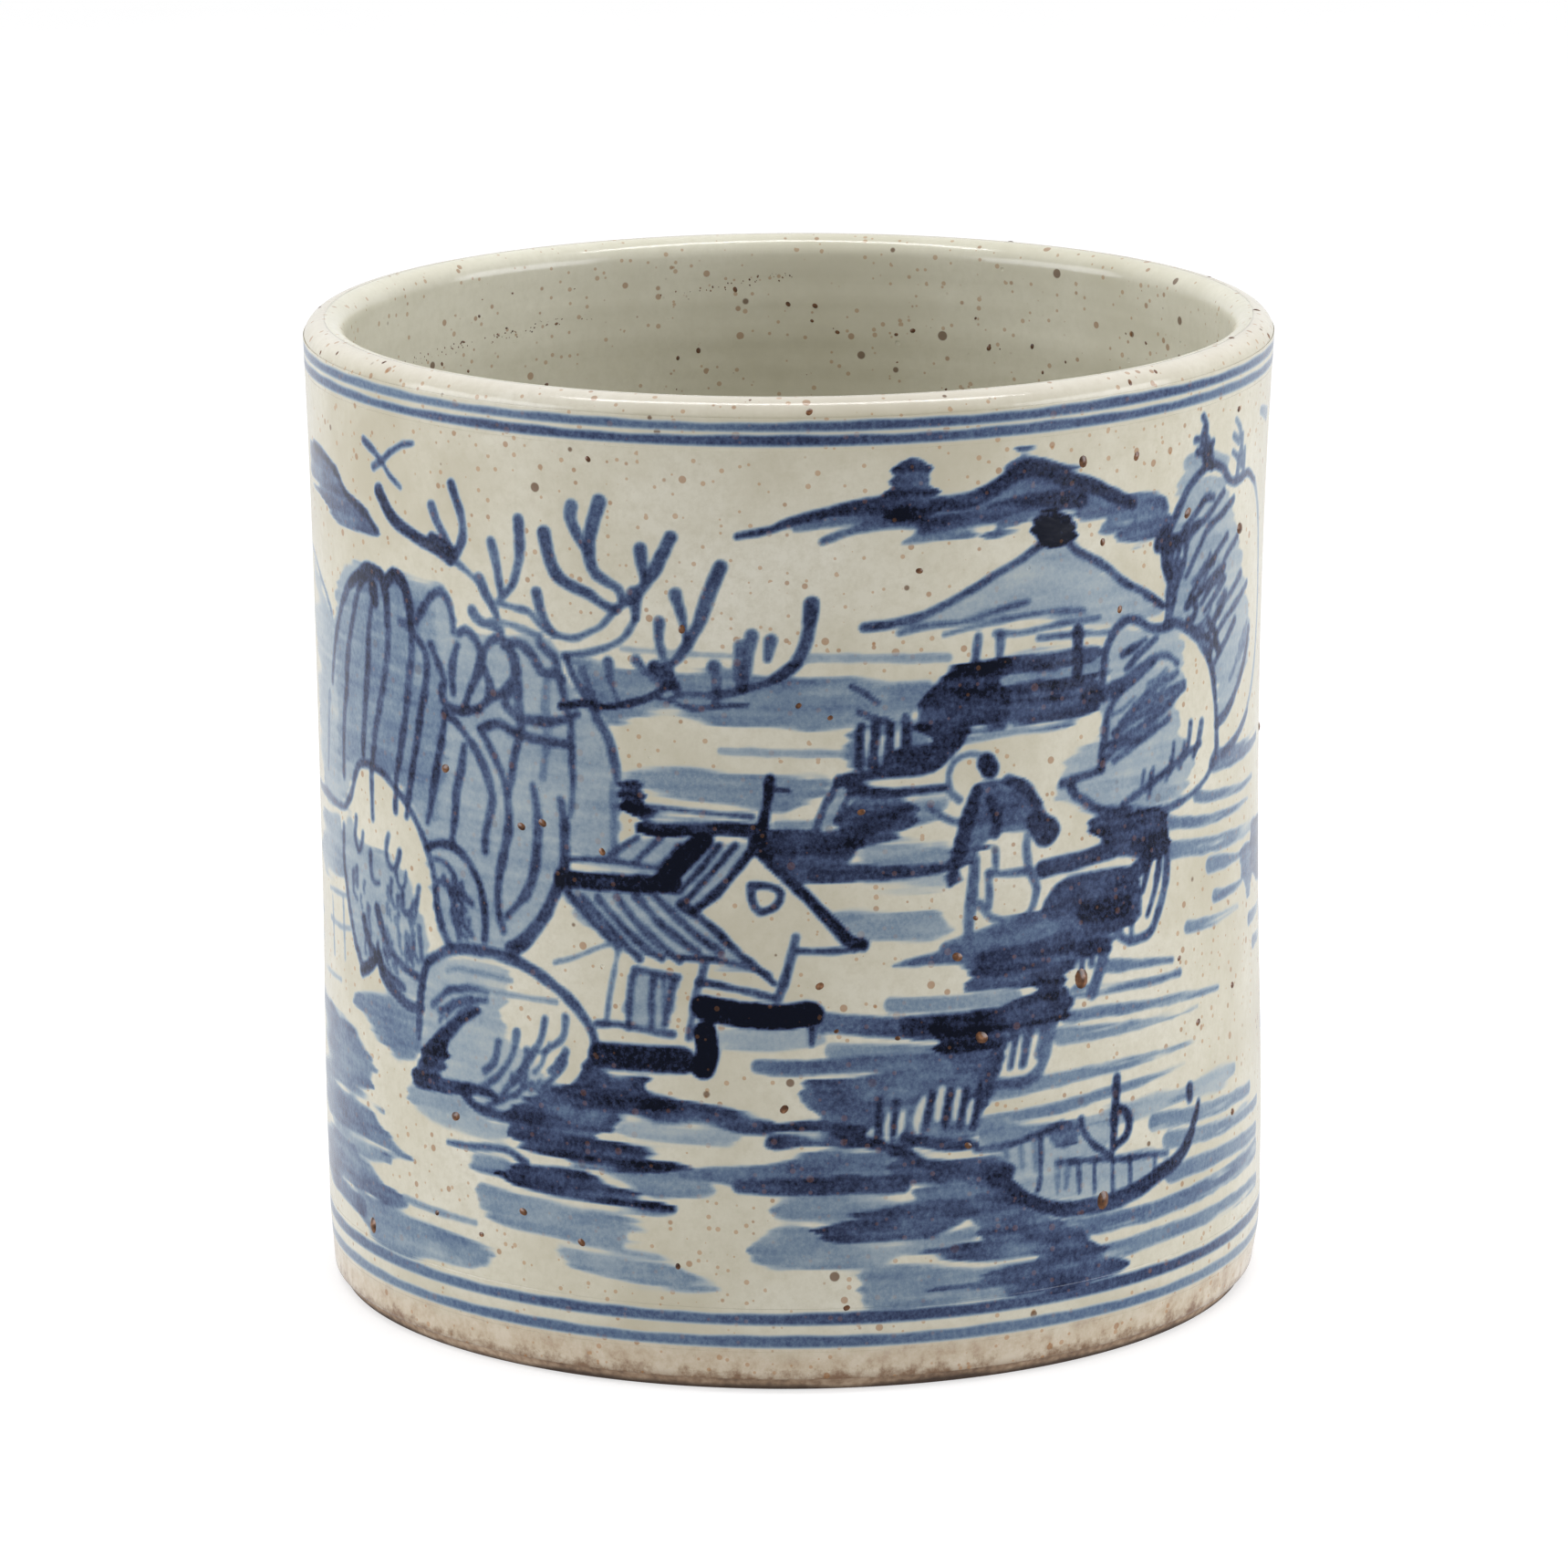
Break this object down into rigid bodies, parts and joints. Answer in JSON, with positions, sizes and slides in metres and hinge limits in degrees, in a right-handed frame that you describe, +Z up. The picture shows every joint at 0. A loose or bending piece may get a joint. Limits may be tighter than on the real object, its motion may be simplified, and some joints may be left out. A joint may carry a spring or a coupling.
{
  "type": "brush pot",
  "caption": "Straight-sided round ceramic pot for writing brushes, open at the top, speckled grey-cream glaze with a blue painted landscape and ring borders.",
  "frame": {"origin": "centre of the face that the pot stands on", "axes": "+Z up the pot's axis, -Y towards the painted front"},
  "size_m": [0.1498, 0.1498, 0.152],
  "materials": {
    "bare_stoneware": "unglazed, fired, fine sandy surface",
    "stoneware_glaze": "glossy grey-cream glaze with iron specks",
    "cobalt_underglaze": "cobalt blue pigment under glossy glaze"
  },
  "bodies": {
    "root": {"clay_base": "bare_stoneware", "clay_wall": "bare_stoneware", "inner_glaze": "stoneware_glaze", "outer_glaze": "stoneware_glaze", "rim_border_lines": "cobalt_underglaze", "foot_border_lines": "cobalt_underglaze"}
  },
  "joints": []
}
